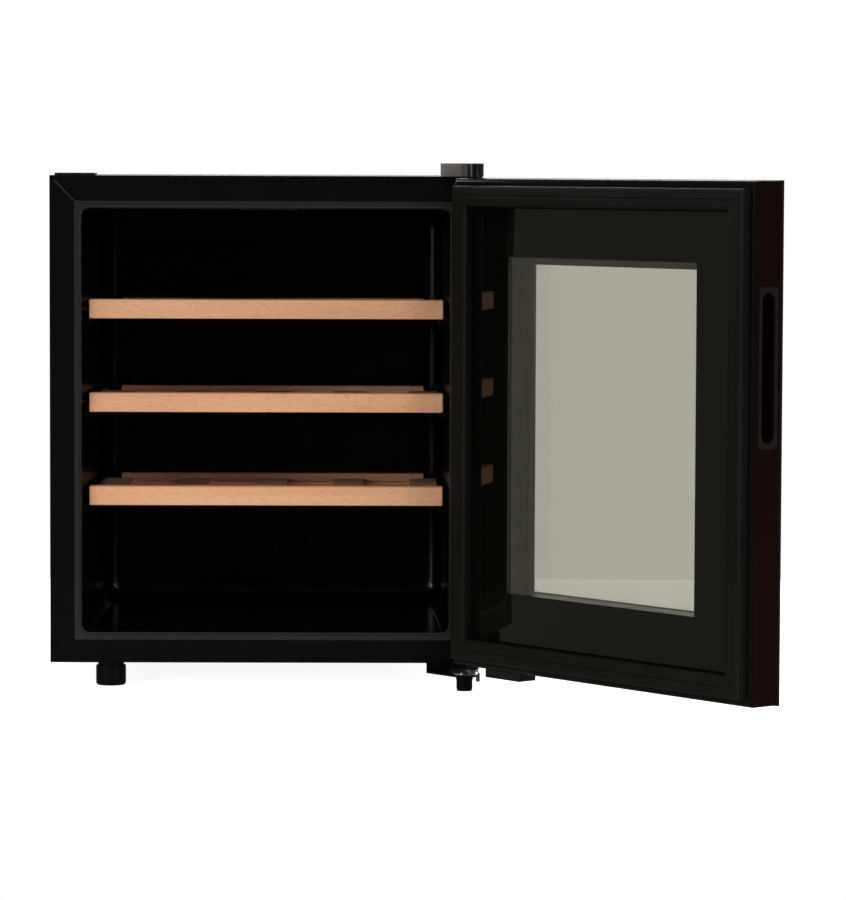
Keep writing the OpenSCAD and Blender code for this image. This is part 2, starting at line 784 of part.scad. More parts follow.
// Hood outline over the hinge plate, grown by g
module cover_outline(g) {
  rounded_rect(cover_x0 - g, half_w + 0.4 + g, -3 - g, cover_y1 + g, 1.5);
  translate([pin_x - cover_r - g, pin_y]) square([2 * (cover_r + g), -pin_y]);
  translate([pin_x, pin_y]) circle(cover_r + g);
}

module top_hinge_cover() color(plastic_black)
  difference() {
    translate([0, 0, case_z1]) linear_extrude(cover_h) cover_outline(0);
    translate([0, 0, case_z1 - eps])
      linear_extrude(cover_h - cover_t + eps) cover_outline(-cover_t);
  }

// Cranked bracket: plate under the case, web, and arm under the door
module bottom_hinge_bracket() color(case_black) {
  difference() {
    union() {
      slab(bracket_x0, hinge_x1, -plate_t, bracket_y1, case_z0 - plate_t, case_z0);
      slab(bracket_x0, hinge_x1, -plate_t, 0, arm_z1 - plate_t, case_z0);
      translate([0, 0, arm_z1 - plate_t]) linear_extrude(plate_t) hull() {
        translate([bracket_x0, -plate_t]) square([hinge_x1 - bracket_x0, plate_t]);
        translate([right_foot_x, right_foot_y]) circle(nose_r, $fn = 32);
        translate([pin_x, pin_y]) circle(pin_r + 4, $fn = 32);
      }
    }
    hinge_bores();
    bottom_hinge_screw_sites()
      cylinder(r = screw_r + screw_gap, h = 20, center = true);
  }
}

// Bores for the lower pin and for the right foot's stud
module hinge_bores() {
  translate([pin_x, pin_y, 0]) cylinder(r = pin_r, h = case_z0);
  translate([right_foot_x, right_foot_y, 0])
    cylinder(r = right_stud_r + bush_gap, h = case_z0);
}

// Plated link on the arm, with its bent-down tab
module bottom_hinge_link() color(steel) {
  tab_x = pin_x + 3.4;
  tab_y = pin_y - nose_r;
  difference() {
    union() {
      translate([0, 0, arm_z1]) linear_extrude(plate_t) hull() {
        translate([link_x0, -plate_t - 2]) square([hinge_x1 - link_x0, 2]);
        translate([right_foot_x, right_foot_y]) circle(nose_r - 0.6, $fn = 32);
        translate([pin_x, pin_y]) circle(pin_r + 3.4, $fn = 32);
      }
      slab(tab_x, tab_x + 4, tab_y, pin_y, arm_z1, link_z1);
      slab(tab_x, tab_x + 4, tab_y - plate_t, tab_y, arm_z1 - 5.5, link_z1);
    }
    hinge_bores();
  }
}

module bottom_hinge_pin() color(steel)
  translate([pin_x, pin_y, arm_z1 - plate_t])
    cylinder(r = pin_r, h = door_z0 + bush_l - 1 - arm_z1 + plate_t);

module bottom_hinge_nut() color(steel)
  translate([pin_x, pin_y, link_z1]) difference() {
    cylinder(r = pin_r + 2.8, h = nut_h, $fn = 6);
    translate([0, 0, -eps]) cylinder(r = pin_r, h = nut_h + 2 * eps);
  }

module hinge_screws() color(steel) {
  top_hinge_screw_sites() translate([0, 0, plate_t]) screw(screw_r, plate_t + 5);
  bottom_hinge_screw_sites() rotate([180, 0, 0]) translate([0, 0, plate_t])
    screw(screw_r, plate_t + 5);
}

// Steel plate inside the case that one hinge's screws bite into
module backing_plate(top) {
  x0 = top ? cover_x0 + 2.2 : bracket_x0;
  y1 = top ? cover_y1 - 2 : bracket_y1;
  z0 = top ? case_z1 - sheet_t - backing_t : case_z0 + sheet_t;
  slab(x0, hinge_x1, 4, y1, z0, z0 + backing_t);
}

module hinge_backing_plates() color(steel) {
  difference() {
    for (top = [false, true]) backing_plate(top);
    bottom_hinge_screw_sites()
      cylinder(r = screw_r + screw_gap, h = 24, center = true);
    top_hinge_screw_sites() cylinder(r = screw_r + screw_gap, h = 24, center = true);
  }
}

// Cap over the spare hinge holes, with three pegs
module hinge_hole_cap() color(plastic_black) {
  translate([0, 0, case_z1]) linear_extrude(2.4)
    rounded_rect(-half_w + 4.8, -cover_x0 + 4, 4, 36, 3);
  hinge_cap_sites() translate([0, 0, -4]) cylinder(r = screw_r, h = 4 + eps);
}

// Round foot with a stepped top
module foot_body(h) {
  cylinder(r = foot_d / 2 - 1, h = 1.5);
  translate([0, 0, 1.5]) cylinder(r = foot_d / 2, h = h - 5.5);
  translate([0, 0, h - 4]) cylinder(r = foot_d / 2 - 2, h = 4);
}

module rear_feet() color(plastic_black)
  for (s = [-1, 1]) translate([s * (half_w - foot_inset_x), cabinet_d - rear_foot_inset_y, 0])
    foot_body(foot_h);

module foot_insert() color(nylon)
  translate([-half_w + foot_inset_x, foot_y, case_z0 + sheet_t]) difference() {
    cylinder(r = insert_r, h = insert_l - sheet_t);
    translate([0, 0, -eps]) cylinder(r = stud_r + bush_gap, h = insert_l - 2);
  }

module front_left_foot() color(plastic_black)
  translate([-half_w + foot_inset_x, foot_y, 0]) {
    foot_body(foot_h - 0.3);
    cylinder(r = stud_r, h = foot_h + stud_l);
  }

// Slim ribbed foot that carries the hinge arm
module front_right_foot() color(plastic_black)
  translate([right_foot_x, right_foot_y, 0]) {
    cylinder(r = 7.5, h = 2);
    difference() {
      translate([0, 0, 2]) cylinder(r = 8, h = right_foot_h - 4);
      for (k = [0 : rib_count - 1]) rotate([0, 0, k * 360 / rib_count])
        translate([8.3, 0, 1]) cylinder(r = 0.9, h = right_foot_h - 2, $fn = 16);
    }
    translate([0, 0, right_foot_h - 2.5]) cylinder(r = 8.5, h = 2.5);
    cylinder(r = right_stud_r, h = link_z1 - 0.1);
  }

// ---------------------------------------------------------------- door

// Swings a piece that is drawn shut to the rest angle
module hung() {
  translate([pin_x, pin_y, 0]) rotate([0, 0, door_rest_angle])
    translate([-pin_x, -pin_y, 0]) children();
}

// Corner left over outside a quarter circle
module edge_waste(r) {
  difference() {
    square(r + eps);
    circle(r);
  }
}

// Block whose edges towards the cabinet are rounded
module frame_block() {
  r = frame_edge_r;
  z_mid = (frame_z0 + frame_z1) / 2;
  difference() {
    along_y(frame_y0, door_y1) rounded_rect(-frame_x, frame_x, frame_z0, frame_z1, 2);
    for (s = [0, 1]) {
      mirror([s, 0, 0]) translate([frame_x - r, door_y1 - r, frame_z0 - eps])
        linear_extrude(frame_z1 - frame_z0 + 2 * eps) edge_waste(r);
      translate([0, 0, z_mid]) mirror([0, 0, s])
        along_x(-frame_x - eps, frame_x + eps)
          translate([door_y1 - r, frame_z1 - z_mid - r]) edge_waste(r);
    }
  }
}

// Blocks in the hinge-side corners that hold the bushes
module bush_blocks() {
  for (z = [frame_z0 + 2, frame_z1 - bush_l - 6])
    slab(frame_x - block_w, frame_x - 2, frame_y0, door_y1 - 2, z, z + bush_l + 4);
}

module bush_bores(r) {
  translate([pin_x, pin_y, door_z0 - eps]) cylinder(r = r, h = bush_l + eps);
  translate([pin_x, pin_y, door_z1 - bush_l]) cylinder(r = r, h = bush_l + eps);
}

// Recessed grip, grown by g; it leans towards the glass inside
module cup_outer(g) {
  w = slot_w + 2 * cup_t;
  for (s = [0, 1]) translate([0, handle_y - s * undercut, handle_z])
    along_x(free_x + (s > 0 ? undercut_x : 1), free_x + handle_depth + cup_t + g)
      stadium(w + 2 * g, slot_l + 2 * cup_t + 2 * g);
}

module bezel(g) {
  translate([0, handle_y, handle_z]) along_x(free_x - bezel_proud, free_x - bezel_proud + bezel_t)
    rounded_rect(-handle_w / 2 - g, handle_w / 2 + g, -handle_l / 2 - g, handle_l / 2 + g, 3);
}

module door_frame() color(door_burgundy) hung() {
  w = frame_wall;
  lip_x = half_w - rim_inset;
  z0 = door_z0 + rim_inset;
  z1 = door_z1 - rim_inset;
  difference() {
    union() {
      difference() {
        frame_block();
        slab(-frame_x + w, frame_x - w, frame_y0 - eps, door_y1 - w,
             frame_z0 + w, frame_z1 - w);
        slab(-lip_x, lip_x, frame_y0, 0, z0, z1);
      }
      frame_ring(-lip_x - w, lip_x + w, z0 - w, z1 + w, w, pane_y0 - w, door_y1 - 1);
      frame_ring(-lip_x - w, lip_x + w, z0 - w, z1 + w, w + rest_w, pane_y0 - w, pane_y0);
      bush_blocks();
    }
    bush_bores(bush_r);
    gasket_groove();
    cup_outer(fit_gap);
    bezel(fit_gap);
    stop_screw_sites() cylinder(r = small_screw_r + screw_gap, h = 20, center = true);
  }
}

// Groove that holds the gasket's barb
module gasket_groove() {
  i = gasket_inset + gasket_w / 2 - barb_w / 2 - fit_gap;
  frame_ring(-half_w + i, half_w - i, door_z0 + i, door_z1 - i, barb_w + 2 * fit_gap,
             door_y1 - barb_l - fit_gap, door_y1 + eps);
}

module outer_glass() color(glass_tint) hung()
  along_y(door_y0, frame_y0)
    rounded_rect(-half_w, half_w, door_z0, door_z1, 2.5);

module inner_glass() color(glass_tint) hung() {
  i = rim_inset + pane_gap;
  along_y(pane_y0, pane_y1)
    rounded_rect(-half_w + i, half_w - i, door_z0 + i, door_z1 - i, 3);
}

module glazing_spacer() color([0.17, 0.16, 0.13]) hung()
  frame_ring(-window_x - spacer_w, window_x + spacer_w, window_z0 - spacer_w,
             window_z1 + spacer_w, spacer_w, frame_y0, pane_y0);

module door_foam() color(foam) hung() {
  i = frame_wall;
  x = window_x + spacer_w;
  difference() {
    slab(-frame_x + i, frame_x - i, frame_y0, pane_y0 - frame_wall,
         frame_z0 + i, frame_z1 - i);
    slab(-x, x, frame_y0 - eps, 0, window_z0 - spacer_w, window_z1 + spacer_w);
    bush_blocks();
    cup_outer(fit_gap);
    stop_screw_sites() cylinder(r = small_screw_r + screw_gap, h = 20, center = true);
    control_space();
  }
}

// Magnetic gasket: flat foot, hollow for the magnet, grooves beside the bulb
module door_gasket() color([0.12, 0.12, 0.11]) hung() {
  i = gasket_inset;
  mid = i + gasket_w / 2;
  difference() {
    union() {
      frame_ring(-half_w + i, half_w - i, door_z0 + i, door_z1 - i, gasket_w,
                 door_y1, gasket_y1 - 1);
      frame_ring(-half_w + i + 1, half_w - i - 1, door_z0 + i + 1, door_z1 - i - 1,
                 gasket_w - 2, gasket_y1 - 1, gasket_y1);
      frame_ring(-half_w + mid - barb_w / 2, half_w - mid + barb_w / 2,
                 door_z0 + mid - barb_w / 2, door_z1 - mid + barb_w / 2, barb_w,
                 door_y1 - barb_l, door_y1);
    }
    magnet_ring(fit_gap);
    for (k = [i - 1, i + gasket_w - 1.2])
      frame_ring(-half_w + k, half_w - k, door_z0 + k, door_z1 - k, 2.2,
                 door_y1 + 2.5, door_y1 + 4);
  }
}

// Space of the magnet strips inside the gasket, grown by g
module magnet_ring(g) {
  m = gasket_inset + (gasket_w - magnet_w) / 2 - g;
  y1 = gasket_y1 - 1.2;
  frame_ring(-half_w + m, half_w - m, door_z0 + m, door_z1 - m, magnet_w + 2 * g,
             y1 - magnet_t - g, y1 + g);
}

// Four magnet strips, one for each side
module gasket_magnets() color([0.25, 0.2, 0.18]) hung() {
  m = gasket_inset + (gasket_w - magnet_w) / 2;
  gap = 1;
  difference() {
    magnet_ring(0);
    for (sx = [-1, 1], z = [door_z0 + m + magnet_w, door_z1 - m - magnet_w - gap]) {
      x0 = sx > 0 ? half_w - m - magnet_w - gap : -half_w;
      slab(x0, x0 + m + magnet_w + gap, door_y1, 0, z, z + gap);
    }
  }
}

module handle_cup() color(plastic_black) hung() {
  difference() {
    union() {
      bezel(0);
      cup_outer(0);
    }
    for (s = [0, 1]) translate([0, handle_y - s * undercut, handle_z])
      along_x(free_x + (s > 0 ? undercut_x + cup_t : -1), free_x + handle_depth)
        stadium(slot_w, slot_l);
  }
}

module door_bushes() color(nylon) hung() {
  flange_z = link_z1 + nut_h + fit_gap;
  difference() {
    union() {
      bush_bores(bush_r);
      translate([pin_x, pin_y, flange_z]) cylinder(r = bush_flange_r, h = door_z0 - flange_z);
      translate([pin_x, pin_y, door_z1]) cylinder(r = bush_flange_r, h = door_top_gap - 0.1);
    }
    translate([pin_x, pin_y, 0]) cylinder(r = pin_r + bush_gap, h = case_z1 + 20);
  }
}

// Block under the door beside the hinge
module door_stop_block() color([0.12, 0.09, 0.08]) hung() {
  x1 = half_w - 44;
  difference() {
    slab(x1 - 52, x1, door_y0 + 8, door_y0 + 30, door_z0 - stop_h, door_z0);
    stop_screw_sites() cylinder(r = small_screw_r + screw_gap, h = 20, center = true);
  }
}

module stop_screw_sites() {
  for (x = [half_w - 56, half_w - 84]) translate([x, door_y0 + 19, door_z0 - stop_h])
    children();
}

module door_stop_screws() color(steel) hung()
  stop_screw_sites() rotate([180, 0, 0]) screw(small_screw_r, stop_h + 1.4);

// Room for the touch controls behind the outer pane
module control_space() {
  slab(-60, 60, frame_y0 - eps, frame_y0 + 12, door_z1 - 54, door_z1 - 24);
}

module control_board() color(board_green) hung() {
  z0 = door_z1 - 52;
  slab(-56, 56, frame_y0 + 3, frame_y0 + 3 + board_t, z0, z0 + 26);
  slab(-18, 18, frame_y0, frame_y0 + 3, z0 + 6, z0 + 20);
  for (x = [-44, -30, 30, 44]) facing_front(x, frame_y0 + 3, z0 + 13)
    cylinder(r = 5, h = 3);
}

// ---------------------------------------------------------------- shelves

module shelf_front_bar(i) color(beech)
  slab(-bar_half, bar_half, shelf_front_y, shelf_front_y + front_bar_t,
       shelf_top(i) - front_bar_h, shelf_top(i));

function crossbar_y() = [shelf_front_y + front_bar_t + crossbar_front_gap,
                         (shelf_front_y + shelf_rear_y) / 2,
                         shelf_rear_y - crossbar_w * 5 - 1,
                         shelf_rear_y - crossbar_w * 2 - 8];

module crossbars(i, g) {
  for (y = crossbar_y())
    slab(-bar_half - g, bar_half + g, y - g, y + crossbar_w + g,
         slat_bottom(i) - 10 * g, slat_top(i) - crossbar_drop + g);
}

module shelf_slats(i) color(beech) {
  pitch = (2 * slat_half - slat_w) / (slat_count - 1);
  rear_y = shelf_rear_y - crossbar_w;
  difference() {
    for (k = [0 : slat_count - 1])
      slab(-slat_half + k * pitch, -slat_half + k * pitch + slat_w,
           shelf_front_y + front_bar_t, rear_y, slat_bottom(i), slat_top(i));
    crossbars(i, lap_gap);
  }
}

module shelf_rails(i) color(beech) {
  crossbars(i, 0);
  slab(-rear_bar_half, rear_bar_half, shelf_rear_y - crossbar_w, shelf_rear_y,
       slat_bottom(i), slat_top(i) + rear_bar_rise);
}

// ---------------------------------------------------------------- assembly

outer_case();
base_panel();
back_panel();
back_panel_screws();
inner_liner();
insulation();
duct_cover();
duct_screws();
cold_sink();
spacer_block();
peltier_module();
hot_sink();
inner_fan_frame();
inner_fan_rotor();
outer_fan_frame();
outer_fan_rotor();
fan_guard();
machine_tray();
power_board();
cord_gland();
temperature_sensor();
light_housing();
light_board();
light_lens();
top_hinge_plate();
top_hinge_pin();
top_hinge_cover();
bottom_hinge_bracket();
bottom_hinge_link();
bottom_hinge_pin();
bottom_hinge_nut();
hinge_screws();
hinge_backing_plates();
hinge_hole_cap();
rear_feet();
foot_insert();
front_left_foot();
front_right_foot();
door_frame();
outer_glass();
inner_glass();
glazing_spacer();
door_foam();
door_gasket();
gasket_magnets();
handle_cup();
door_bushes();
door_stop_block();
door_stop_screws();
control_board();
shelf_front_bar(0);  // shelf_1_front_bar
shelf_slats(0);  // shelf_1_slats
shelf_rails(0);  // shelf_1_rails
shelf_front_bar(1);  // shelf_2_front_bar
shelf_slats(1);  // shelf_2_slats
shelf_rails(1);  // shelf_2_rails
shelf_front_bar(2);  // shelf_3_front_bar
shelf_slats(2);  // shelf_3_slats
shelf_rails(2);  // shelf_3_rails
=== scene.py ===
import json
import math

import bmesh
import bpy
from mathutils import Matrix, Vector


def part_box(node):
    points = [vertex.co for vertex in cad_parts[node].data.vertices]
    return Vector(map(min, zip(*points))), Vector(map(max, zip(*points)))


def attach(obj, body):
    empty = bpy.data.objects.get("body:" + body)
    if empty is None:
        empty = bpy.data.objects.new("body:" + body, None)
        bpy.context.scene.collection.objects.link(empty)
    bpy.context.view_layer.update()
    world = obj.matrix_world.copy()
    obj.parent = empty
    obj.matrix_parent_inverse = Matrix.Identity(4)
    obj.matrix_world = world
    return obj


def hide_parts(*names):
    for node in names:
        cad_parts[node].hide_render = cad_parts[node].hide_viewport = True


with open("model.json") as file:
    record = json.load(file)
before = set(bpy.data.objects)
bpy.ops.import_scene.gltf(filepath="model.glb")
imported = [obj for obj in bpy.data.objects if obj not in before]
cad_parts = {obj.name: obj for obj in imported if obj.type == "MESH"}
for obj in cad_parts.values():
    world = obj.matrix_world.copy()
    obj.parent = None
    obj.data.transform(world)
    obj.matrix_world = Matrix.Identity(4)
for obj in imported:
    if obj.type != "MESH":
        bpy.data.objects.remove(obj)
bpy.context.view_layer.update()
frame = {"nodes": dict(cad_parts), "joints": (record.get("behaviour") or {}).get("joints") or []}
scene = bpy.context.scene
nodes = frame["nodes"]
MM = 0.001
# A distance of zero falls in the middle of a colour ramp
RAMP_ZERO = 0.5
# Refractive index of the glass, the plastics and the lacquers
IOR = 1.45


# ------------------------------------------------------------ door geometry
hinge = next(j for j in frame["joints"] if j["name"] == "door_hinge")
pin = Vector((hinge["pos_m"][0], hinge["pos_m"][1], 0))
rest_angle = -math.radians(hinge["range_deg"][0])
# From the shut door, in which its pieces are drawn, to the open door at rest
swing = (Matrix.Translation(pin) @ Matrix.Rotation(rest_angle, 4, "Z")
         @ Matrix.Translation(-pin))


def shut_box(node):
    """Lowest and highest corner of a door node with the door shut."""
    back = swing.inverted()
    pts = [back @ v.co for v in nodes[node].data.vertices]
    low = Vector([min(p[i] for p in pts) for i in range(3)])
    high = Vector([max(p[i] for p in pts) for i in range(3)])
    return low, high


# ------------------------------------------------------------ materials
class Paint:
    """A node material on one Principled shader."""

    def __init__(self, name, base, rough, metallic=0.0, spec=0.5, transmission=0.0):
        self.mat = bpy.data.materials.new(name)
        self.mat.use_nodes = True
        self.tree = self.mat.node_tree
        self.tree.nodes.clear()
        self.out = self.node("ShaderNodeOutputMaterial")
        self.bsdf = self.node("ShaderNodeBsdfPrincipled")
        self.tree.links.new(self.bsdf.outputs[0], self.out.inputs[0])
        self.set("Base Color", (*base, 1))
        self.set("Roughness", rough)
        self.set("Metallic", metallic)
        self.set("Specular IOR Level", spec)
        self.set("Transmission Weight", transmission)
        self.set("IOR", IOR)
        self.coords = self.node("ShaderNodeTexCoord").outputs["Object"]

    def node(self, kind, **settings):
        n = self.tree.nodes.new(kind)
        for key, value in settings.items():
            setattr(n, key, value)
        return n

    def set(self, socket, value):
        self.bsdf.inputs[socket].default_value = value

    def link(self, a, b):
        self.tree.links.new(a, b)

    def stretched(self, scale):
        m = self.node("ShaderNodeMapping")
        m.inputs["Scale"].default_value = scale
        self.link(self.coords, m.inputs["Vector"])
        return m.outputs[0]

    def along(self, axis, place=0.0):
        """Distance in metres past a place on an axis, counted from RAMP_ZERO."""
        n = self.node("ShaderNodeVectorMath", operation="DOT_PRODUCT")
        n.inputs[1].default_value = axis
        self.link(self.coords, n.inputs[0])
        m = self.node("ShaderNodeMath", operation="ADD")
        m.inputs[1].default_value = RAMP_ZERO - place
        self.link(n.outputs["Value"], m.inputs[0])
        return m.outputs[0]

    def noise(self, scale=(1, 1, 1), size=1.0, detail=3.0, rough=0.5, warp=0.0):
        n = self.node("ShaderNodeTexNoise")
        n.inputs["Scale"].default_value = size
        n.inputs["Detail"].default_value = detail
        n.inputs["Roughness"].default_value = rough
        n.inputs["Distortion"].default_value = warp
        self.link(self.stretched(scale), n.inputs["Vector"])
        return n.outputs[0]

    def ramp(self, value, stops):
        n = self.node("ShaderNodeValToRGB")
        el = n.color_ramp.elements
        while len(el) < len(stops):
            el.new(0.5)
        for e, (pos, col) in zip(el, stops):
            e.position = pos
            e.color = (*col, 1)
        self.link(value, n.inputs[0])
        return n.outputs[0]

    def mix(self, factor, source, tint):
        """Blends a flat tint into a colour."""
        n = self.node("ShaderNodeMix", data_type="RGBA")
        if isinstance(factor, float):
            n.inputs[0].default_value = factor
        else:
            self.link(factor, n.inputs[0])
        self.link(source, n.inputs[6])
        n.inputs[7].default_value = (*tint, 1)
        return n.outputs[2]

    def spread(self, value, low, high, start=0.3, end=0.7):
        """Maps a value between start and end to one between low and high."""
        n = self.node("ShaderNodeMapRange")
        n.inputs["From Min"].default_value = start
        n.inputs["From Max"].default_value = end
        n.inputs["To Min"].default_value = low
        n.inputs["To Max"].default_value = high
        self.link(value, n.inputs["Value"])
        return n.outputs[0]

    def colour(self, source):
        self.link(source, self.bsdf.inputs["Base Color"])

    def split(self, axis, place, near, far, blur=0.0001):
        """One colour up to a place on an axis, another past it."""
        stops = [(RAMP_ZERO - blur, near), (RAMP_ZERO + blur, far)]
        self.colour(self.ramp(self.along(axis, place), stops))

    def vary_rough(self, value, low, high):
        self.link(self.spread(value, low, high), self.bsdf.inputs["Roughness"])

    def bump(self, value, depth, strength):
        n = self.node("ShaderNodeBump")
        n.inputs["Strength"].default_value = strength
        n.inputs["Distance"].default_value = depth
        self.link(value, n.inputs["Height"])
        self.link(n.outputs[0], self.bsdf.inputs["Normal"])

    def bow(self, axis, middle, fall):
        """Bulges a flat face across an axis: its fall a metre from the middle."""
        u = self.node("ShaderNodeMath", operation="SUBTRACT")
        u.inputs[1].default_value = RAMP_ZERO
        self.link(self.along(axis, middle), u.inputs[0])
        square = self.node("ShaderNodeMath", operation="POWER")
        self.link(u.outputs[0], square.inputs[0])
        square.inputs[1].default_value = 2.0
        self.bump(square.outputs[0], -fall, 1.0)

    def bands(self, axis, size, stops):
        """Colours the material in streaks across an axis."""
        n = self.node("ShaderNodeTexNoise", noise_dimensions="1D")
        n.inputs["Scale"].default_value = size
        n.inputs["Detail"].default_value = 2
        self.link(self.along(axis), n.inputs["W"])
        self.colour(self.ramp(n.outputs[0], stops))


def shade(base, low, high):
    """Two tones round a colour."""
    return (tuple(c * low for c in base), tuple(c * high for c in base))


def plastic(name, base, rough, spec=0.4, grain=900, depth=0.04 * MM):
    """Moulded plastic: fine grain, faint mottling, uneven gloss."""
    p = Paint(name, base, rough, spec=spec)
    dark, light = shade(base, 0.88, 1.12)
    mottle = p.noise(size=14, detail=2)
    p.colour(p.ramp(mottle, [(0.25, dark), (0.75, light)]))
    p.vary_rough(p.noise(size=30, detail=2), rough * 0.93, rough * 1.08)
    p.bump(p.noise(size=grain, detail=2), depth, 0.35)
    return p


def metal(name, base, rough, stretch=(1, 1, 1)):
    """Bright metal with fine drawn lines and small tarnished patches."""
    p = Paint(name, base, rough, metallic=1.0)
    dark, light = shade(base, 0.8, 1.08)
    p.colour(p.ramp(p.noise(size=60, detail=5), [(0.35, dark), (0.65, light)]))
    p.vary_rough(p.noise(stretch, size=700, detail=3), rough * 0.75, rough * 1.3)
    p.bump(p.noise(stretch, size=700, detail=2), 0.03 * MM, 0.3)
    return p


def grain_scale(axis, along, across):
    """Noise scale that is coarse along the wood's grain and fine across it."""
    return tuple(along if a == axis else across for a in "XYZ")


BEECH = [(0.28, (0.60, 0.292, 0.146)), (0.5, (0.67, 0.348, 0.186)),
         (0.72, (0.73, 0.405, 0.230))]
BEECH_FLECK = (0.42, 0.18, 0.080)
BEECH_PORE = (0.50, 0.26, 0.14)
# Pale, greyer tone for painted sheen, the glancing reflection off lacquered wood
PAINTED_SHEEN_TONE = (0.92, 0.72, 0.53)


def wood(name, axis, painted_sheen=0.0):
    """Planed beech, its grain along one axis: pale bands, short dark flecks, and a share of
    painted sheen that washes it pale.
    """
    p = Paint(name, (0.66, 0.37, 0.21), 0.55, spec=0.3)
    bands = p.noise(grain_scale(axis, 2.2, 34.0), detail=5, rough=0.6, warp=0.6)
    flecks = p.noise(grain_scale(axis, 150.0, 950.0), detail=2)
    pores = p.noise(grain_scale(axis, 40.0, 1500.0), detail=3)
    tone = p.ramp(bands, BEECH)
    tone = p.mix(p.spread(flecks, 0.0, 0.55, 0.58, 0.70), tone, BEECH_FLECK)
    tone = p.mix(p.spread(pores, 0.0, 0.35, 0.5, 0.75), tone, BEECH_PORE)
    # Painted sheen: an even share of the pale, greyer tone washes the wood out
    p.colour(p.mix(painted_sheen, tone, PAINTED_SHEEN_TONE))
    p.vary_rough(bands, 0.46, 0.64)
    p.bump(pores, 0.2 * MM, 0.25)
    return p


def pane_glass(name, tint):
    """Clear glass with the faintest uneven polish."""
    p = Paint(name, tint, 0.0, transmission=1.0)
    p.vary_rough(p.noise(size=9, detail=3), 0.0, 0.02)
    return p


# The shut door's width and depth axes, turned to where the door rests
SHUT_X = (math.cos(rest_angle), math.sin(rest_angle), 0)
SHUT_Y = (-math.sin(rest_angle), math.cos(rest_angle), 0)
# The hood's flat face is painted pale grey up to its dark nose, as a painted reflection of the
# bright backdrop; the frame is black beside the gasket, and the liner's lip, in the face of the
# case, is painted paler than the walls behind it, as a painted highlight
HOOD_NOSE = pin.x - 9.3 * MM
FRAME_BACK = shut_box("door_frame")[1].y - 3.5 * MM
FRAME_SPLIT = Vector(SHUT_Y).dot(swing @ Vector((0, FRAME_BACK, 0)))
LIP_BACK = 0.3 * MM
# A sealed pair of panes bulges a little, about its middle
PANE_FALL = 0.05
PANE_MIDDLE = Vector(SHUT_X).dot(swing @ Vector((0, 0, 0)))

WOOD_X = wood("beech_x", "X")
# Painted sheen: the slats' tops are paler and greyer than the rails of the same beech, for their
# glancing reflection
WOOD_Y = wood("beech_y", "Y", painted_sheen=0.45)
CASE = plastic("case_paint", (0.0031, 0.0029, 0.0028), 0.30, spec=0.11, grain=1300)
LINER = plastic("liner_gloss", (0.0022, 0.0019, 0.0016), 0.20, spec=0.22, grain=300)
# Painted highlight: the lip in the face of the case is pale; the walls behind it keep the
# liner's own near-black
LINER.split((0, 1, 0), LIP_BACK, (0.036, 0.0355, 0.0345), (0.0024, 0.0018, 0.0013))
DUCT = plastic("duct_gloss", (0.0044, 0.0026, 0.0014), 0.28, spec=0.14, grain=500)
HOOD = plastic("hood_plastic", (0.008, 0.008, 0.009), 0.15, spec=0.5)
# Painted reflection: the flat face short of the nose is pale grey for the backdrop it mirrors;
# the nose keeps the dark plastic
HOOD.split((1, 0, 0), HOOD_NOSE, (0.150, 0.138, 0.128), (0.006, 0.006, 0.009))
BLACK = plastic("black_plastic", (0.0040, 0.0037, 0.0031), 0.36, spec=0.22)
FOOT = plastic("foot_plastic", (0.0022, 0.0020, 0.0018), 0.45, spec=0.10)
HANDLE = plastic("handle_gloss", (0.0060, 0.0042, 0.0038), 0.16, spec=0.5)
# Painted highlight: pale strip for the light caught on the sheet's cut edges in the mitre
SEAM = plastic("seam_highlight", (0.055, 0.055, 0.057), 0.35, spec=0.5)
LIP = plastic("lip_gloss", (0.0080, 0.0080, 0.0082), 0.28, spec=0.5)
RUBBER = plastic("gasket_rubber", (0.0052, 0.0049, 0.0034), 0.45, spec=0.16, grain=1500)
MAGNET = plastic("magnet_strip", (0.02, 0.016, 0.014), 0.6)
DOOR = plastic("door_gloss", (0.0081, 0.0014, 0.0013), 0.18, spec=0.11, depth=0.01 * MM)
DOOR.split(SHUT_Y, FRAME_SPLIT, (0.0081, 0.0014, 0.0013), (0.0040, 0.0040, 0.0034), 0.001)
STOP = plastic("stop_plastic", (0.007, 0.0045, 0.0035), 0.35, spec=0.3)
SPACER = plastic("glazing_bar", (0.010, 0.009, 0.002), 0.45, spec=0.1)
# Painted shade and highlight: dark and pale streaks along the bar stand in for the light and
# shade on its ridges
SPACER.bands(SHUT_Y, 500, [(0.38, (0.003, 0.003, 0.001)), (0.5, (0.010, 0.009, 0.002)),
                           (0.62, (0.026, 0.020, 0.007))])
# The enamel back's own cream tone, raised paler as painted light for the backdrop shining
# through the enamel
BACKING = plastic("enamel_back", (0.036, 0.031, 0.014), 0.6, spec=0.1)
WHITE = plastic("white_plastic", (0.68, 0.66, 0.60), 0.4)
LENS = Paint("lamp_lens", (0.045, 0.042, 0.036), 0.30, spec=0.3, transmission=0.3)
LENS.bump(LENS.noise(size=800, detail=2), 0.1 * MM, 0.4)
FOAM = plastic("foam", (0.78, 0.70, 0.45), 0.9, grain=420, depth=0.6 * MM)
BOARD = plastic("circuit_board", (0.015, 0.09, 0.035), 0.35, grain=260)
CERAMIC = plastic("ceramic_white", (0.75, 0.75, 0.73), 0.3)
ZINC = metal("zinc_plate", (0.72, 0.74, 0.77), 0.24)
GUARD = metal("guard_wire", (0.55, 0.56, 0.58), 0.3)
ALU = metal("aluminium", (0.78, 0.79, 0.80), 0.35, stretch=(1, 1, 0.05))
ENAMEL_OUT = plastic("door_enamel", (0.0085, 0.0016, 0.0014), 0.06, spec=0.5,
                     grain=60, depth=0.01 * MM)
ENAMEL_IN = Paint("pane_enamel", (0.0022, 0.0022, 0.0014), 0.0, spec=0.5)
